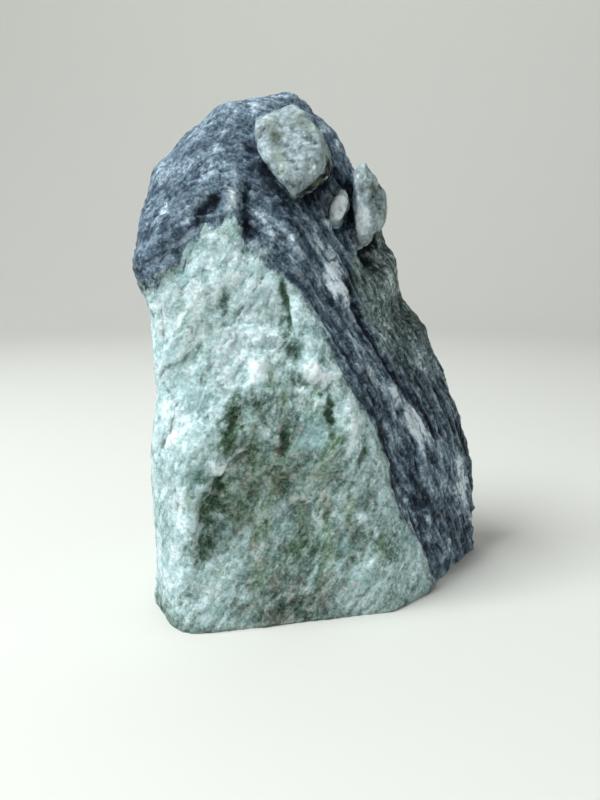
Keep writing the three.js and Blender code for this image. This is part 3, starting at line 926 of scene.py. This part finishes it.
class Rock(Graph):
    """Makes the nodes of the stone's material, and holds what its minerals share."""

    def __init__(self, material):
        super().__init__(material)
        self.x, y, self.z = self.node("SeparateXYZ", None, {0: self.mm}).outputs
        bends = self.node("TexNoise", None, {"Vector": self.mm, "Scale": BENDS}).outputs["Color"]
        self.along_grain = self.drawn_out(self.vector("ADD", self.mm, bends), "splinters")
        self.depth, self.crown = self.stored("schist_depth"), self.stored("crown")
        with_z, with_y = LAYER_STREAKS
        along = {"X": self.stored("layer"), "Y": self.times(self.z, with_z), "Z": self.times(y, with_y)}
        self.along_layers = self.node("CombineXYZ", None, along).outputs["Vector"]

        self.specks = self.noise("specks")
        self.broken = self.times(self.noise("broken_edges"), MARKS_RAGGED)
        self.grains, self.grain_tone = self.chips(self.mm, GRAIN_SIZE)
        self.splinters, self.splinter_tone = self.chips(self.along_grain, SPLINTER_SIZE)
        self.plates, self.plate_tone = self.chips(self.drawn_out(self.along_layers, "plates"), PLATE_SIZE)

    def marks(self, name):
        """The stored pale and dark marks of a stone, with their edges broken up."""
        value = self.stored(name)
        pale, dark = self.math("ADD", self.broken, value), self.math("SUBTRACT", self.broken, value)
        return self.fade(pale, "pale_marks"), self.fade(dark, "dark_marks")

    def in_schist(self):
        """From 0 in the talc to 1 in the schist, with a ragged edge that has fingers in the crown."""
        fingers = self.noise("contact_fingers", self.drawn_out(self.mm, "contact_fingers"))
        fingers = self.times(fingers, self.crown)
        swings, noise = self.noise("contact_swings"), self.noise("contact")
        ragged = self.sum(self.depth, CONTACT_RAGGED, noise=noise, fingers=fingers, swings=swings)
        return self.fade(ragged, "schist")

    def in_knob(self):
        """From 0 off the knobs to 1 on them."""
        return self.fade(self.sum(self.stored("knob"), KNOB_RAGGED, specks=self.specks), "knob")


def talc_tone(g, pale, dark, sage, by_band):
    """How light the talc is, in clouds, splinters and specks."""
    by_crown = g.times(g.fade(g.depth, "talc_nears_crown"), g.fade(g.crown, "crown"))
    streaks = g.noise("talc_streaks", g.along_grain)
    by_schist = g.noise("streaks_by_schist", g.along_layers)
    return g.sum(
        TALC_TONE,
        TALC_TONES,
        clouds=g.noise("talc_clouds"),
        streaks=g.mix(g.fade(g.depth, "talc_nears_schist"), streaks, by_schist),
        blotches=g.noise("talc_blotches"),
        splinters=g.splinter_tone,
        grains=g.grain_tone,
        specks=g.specks,
        # Lighter towards the top, painted light from above, and darker at the foot, painted shade.
        upper=g.fade(g.z, "upper_talc"),
        foot=g.fade(g.z, "foot"),
        pale=pale,
        dark=dark,
        # Darker in the green hollow: partly its own green, partly painted shade.
        sage=sage,
        by_crown=by_crown,
        pale_sage=g.times(pale, sage),
        dark_sage=g.times(dark, sage),
        by_band=by_band,
    )


def talc_colour(g):
    """Sage to mint to white, with patches of aqua, moss and clay."""
    pale, dark = g.marks("talc_marks")
    sage = g.stored("sage_zone")
    ragged = g.sum(g.depth, BAND_RAGGED, noise=g.noise("edge_of_band"))
    by_band = g.times(g.fade(ragged, "talc_nears_band"), g.fade(g.crown, "band"))
    tone = talc_tone(g, pale, dark, sage, by_band)
    patches = g.noise("moss", g.drawn_out(g.mm, "moss"))
    mossy = g.sum(MOSS_START, MOSS_COMES, sage=sage, dark=dark, patches=patches)
    patches, foot = g.noise("clay"), g.fade(g.z, "clay_foot")
    clayey = g.sum(CLAY_START, CLAY_COMES, sage=sage, patches=patches, by_band=by_band, foot=foot)
    talc = g.mix(g.fade(g.noise("aqua"), "aqua"), g.ramp(tone, TALC), colour(AQUA))
    talc = g.mix(g.fade(mossy, "moss"), talc, g.ramp(tone, MOSS))
    return g.mix(g.fade(clayey, "clay"), talc, g.ramp(tone, CLAY))


def schist_colour(g, pale, dark):
    """Near-black to blue-grey to lilac-white, in streaks along its layers, and greener on the right side."""
    upper_right = g.times(g.between(g.z, *UPPER_RIGHT[0]), g.between(g.x, *UPPER_RIGHT[1]))
    seams, bands = g.noise("seams", g.along_layers), g.noise("bands", g.along_layers)
    spots, flecks = g.noise("mottles"), g.noise("flecks")
    streaks = g.sum(0, STREAKS, seams=seams, bands=bands)
    mottles = g.sum(0, MOTTLES, spots=spots, flecks=flecks, grains=g.grain_tone, specks=g.specks)
    streaks_show = g.sum(STREAKS_IN_BAND, STREAKS_ELSEWHERE, crown=g.crown, upper_right=upper_right)
    mottles_show = g.sum(MOTTLES_IN_BAND, MOTTLES_ELSEWHERE, crown=g.crown, upper_right=upper_right)
    tone = g.sum(
        SCHIST_TONE,
        SCHIST_TONES,
        streaks=g.times(streaks, streaks_show),
        mottles=g.times(mottles, mottles_show),
        plates=g.plate_tone,
        pale=pale,
        dark=dark,
        crown=g.crown,
        upper=g.fade(g.z, "upper_schist"),
    )
    right = g.sum(g.stored("right_side"), RIGHT_RAGGED, noise=g.noise("edge_of_right_side"))
    green = g.times(g.fade(right, "green"), g.fade(g.z, "green_height"))
    return g.mix(green, g.ramp(tone, SCHIST), g.ramp(g.math("ADD", tone, CHLORITE_TONE), CHLORITE))


def knob_colour(g):
    """Pale grey-green clouds, with patches of cream."""
    pale, dark = g.marks("knob_marks")
    clouds, flecks = g.noise("knob_clouds"), g.noise("knob_flecks")
    tone = g.sum(KNOB_TONE, KNOB_TONES, clouds=clouds, flecks=flecks, grains=g.grain_tone)
    tone = g.sum(tone, KNOB_TONES, pale=pale, dark=dark)
    creamy = g.sum(g.noise("cream"), CREAM_COMES, pale=pale)
    return g.mix(g.fade(creamy, "cream"), g.ramp(tone, KNOB), colour(CREAM))


def new_material(name):
    """A new material, and its shader."""
    material = bpy.data.materials.new(name)
    material.use_nodes = True
    return material, material.node_tree.nodes["Principled BSDF"]


def stone_material():
    """Talc, schist and knob stone in one material, each where its own minerals are."""
    material, shader = new_material("soapstone")
    g = Rock(material)
    in_schist = g.in_schist()
    pale, dark = g.marks("schist_marks")
    stone = g.mix(in_schist, talc_colour(g), schist_colour(g, pale, dark))
    stone = g.mix(g.in_knob(), stone, knob_colour(g))
    hollow = g.stored("hollow")
    # Painted shade in the hollows and painted highlights on the convex edges, by how hollow each point is.
    for fade, codes in (("deep", HOLLOW_SHADE), ("edge_highlight", EDGE_HIGHLIGHT)):
        there = g.mix(in_schist, *(colour(code) for code in codes))
        stone = g.mix(g.fade(hollow, fade), stone, there)
    g.set(shader.inputs["Base Color"], stone)

    # Rougher where the schist's dark marks lie, painted shade among them.
    soot = g.fade(g.times(dark, in_schist), "soot")
    roughness = g.sum(g.fade(g.grain_tone, "roughness"), DARK_AND_SHADE_ROUGHNESS, soot=soot)
    g.set(shader.inputs["Roughness"], roughness)
    shader.inputs["Specular IOR Level"].default_value = SPECULAR

    chips = g.mix(in_schist, g.splinters, g.plates)
    height = g.sum(0, GRAIN_HEIGHTS, grit=g.noise("grit"), chips=chips, grains=g.grains)
    bump = {"Strength": BUMP_STRENGTH, "Distance": BUMP_HEIGHT * MM, "Height": height}
    g.set(shader.inputs["Normal"], g.node("Bump", None, bump).outputs["Normal"])
    return material


def plain_material(name, code, roughness):
    """A plain matt paint for the floor."""
    material, shader = new_material(name)
    shader.inputs["Base Color"].default_value = colour(code)
    shader.inputs["Roughness"].default_value = roughness
    return material


def sweep():
    """A round floor that curves up into a low wall all the way round."""
    turn = np.linspace(0, radians(90), SWEEP_RINGS)
    radii = [FLOOR_MIDDLE, *(FLOOR_RADIUS - SWEEP_RADIUS * (1 - np.sin(turn))), FLOOR_RADIUS]
    heights = [0, *(SWEEP_RADIUS * (1 - np.cos(turn))), WALL_HEIGHT]
    rim = [(np.cos(a), np.sin(a)) for a in np.linspace(0, 2 * np.pi, FLOOR_SIDES, endpoint=False)]
    points = [(r * x, r * y, z) for r, z in zip(radii, heights) for x, y in rim]
    faces = [tuple(range(FLOOR_SIDES))]
    for ring in range(len(radii) - 1):
        inner = ring * FLOOR_SIDES
        outer = inner + FLOOR_SIDES
        for i in range(FLOOR_SIDES):
            j = (i + 1) % FLOOR_SIDES
            faces.append((inner + i, outer + i, outer + j, inner + j))
    mesh = bpy.data.meshes.new("floor")
    mesh.from_pydata(points, [], faces)
    return mesh


def lamp(name, at, aim, power, width):
    """A square lamp that stands in one place and shines towards another."""
    light = bpy.data.lights.new(name, "AREA")
    light.energy = power
    light.color = DAYLIGHT
    light.size = width
    stand = add(name, light)
    stand.location = at
    stand.rotation_euler = Vector(np.subtract(aim, at)).to_track_quat("-Z", "Y").to_euler()


def studio():
    """A pale floor, the lamps, and a grey world."""
    floor = add("floor", sweep())
    floor.data.materials.append(plain_material("floor", *FLOOR_PAINT))
    floor.data.shade_smooth()
    for settings in LAMPS:
        lamp(*settings)

    world = bpy.data.worlds.new("studio")
    world.use_nodes = True
    background = world.node_tree.nodes["Background"]
    background.inputs["Color"].default_value = colour(WORLD[0])
    background.inputs["Strength"].default_value = WORLD[1]
    bpy.context.scene.world = world
    bpy.context.scene.view_settings.view_transform = "Standard"


def camera():
    """Stands the camera where the stone is seen from its front, from a little above."""
    lens = bpy.data.cameras.new("camera")
    lens.lens = LENS
    eye = add("camera", lens)
    eye.location = np.array(CAMERA_AT) * MM
    eye.rotation_euler = (radians(90 - CAMERA_TILT), 0, 0)
    bpy.context.scene.camera = eye


camera()
studio()
stone = fine_copy(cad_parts["soapstone_block"])
shape(stone)
stone.data.materials.clear()
stone.data.materials.append(stone_material())
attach(stone, "root")
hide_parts("soapstone_block")
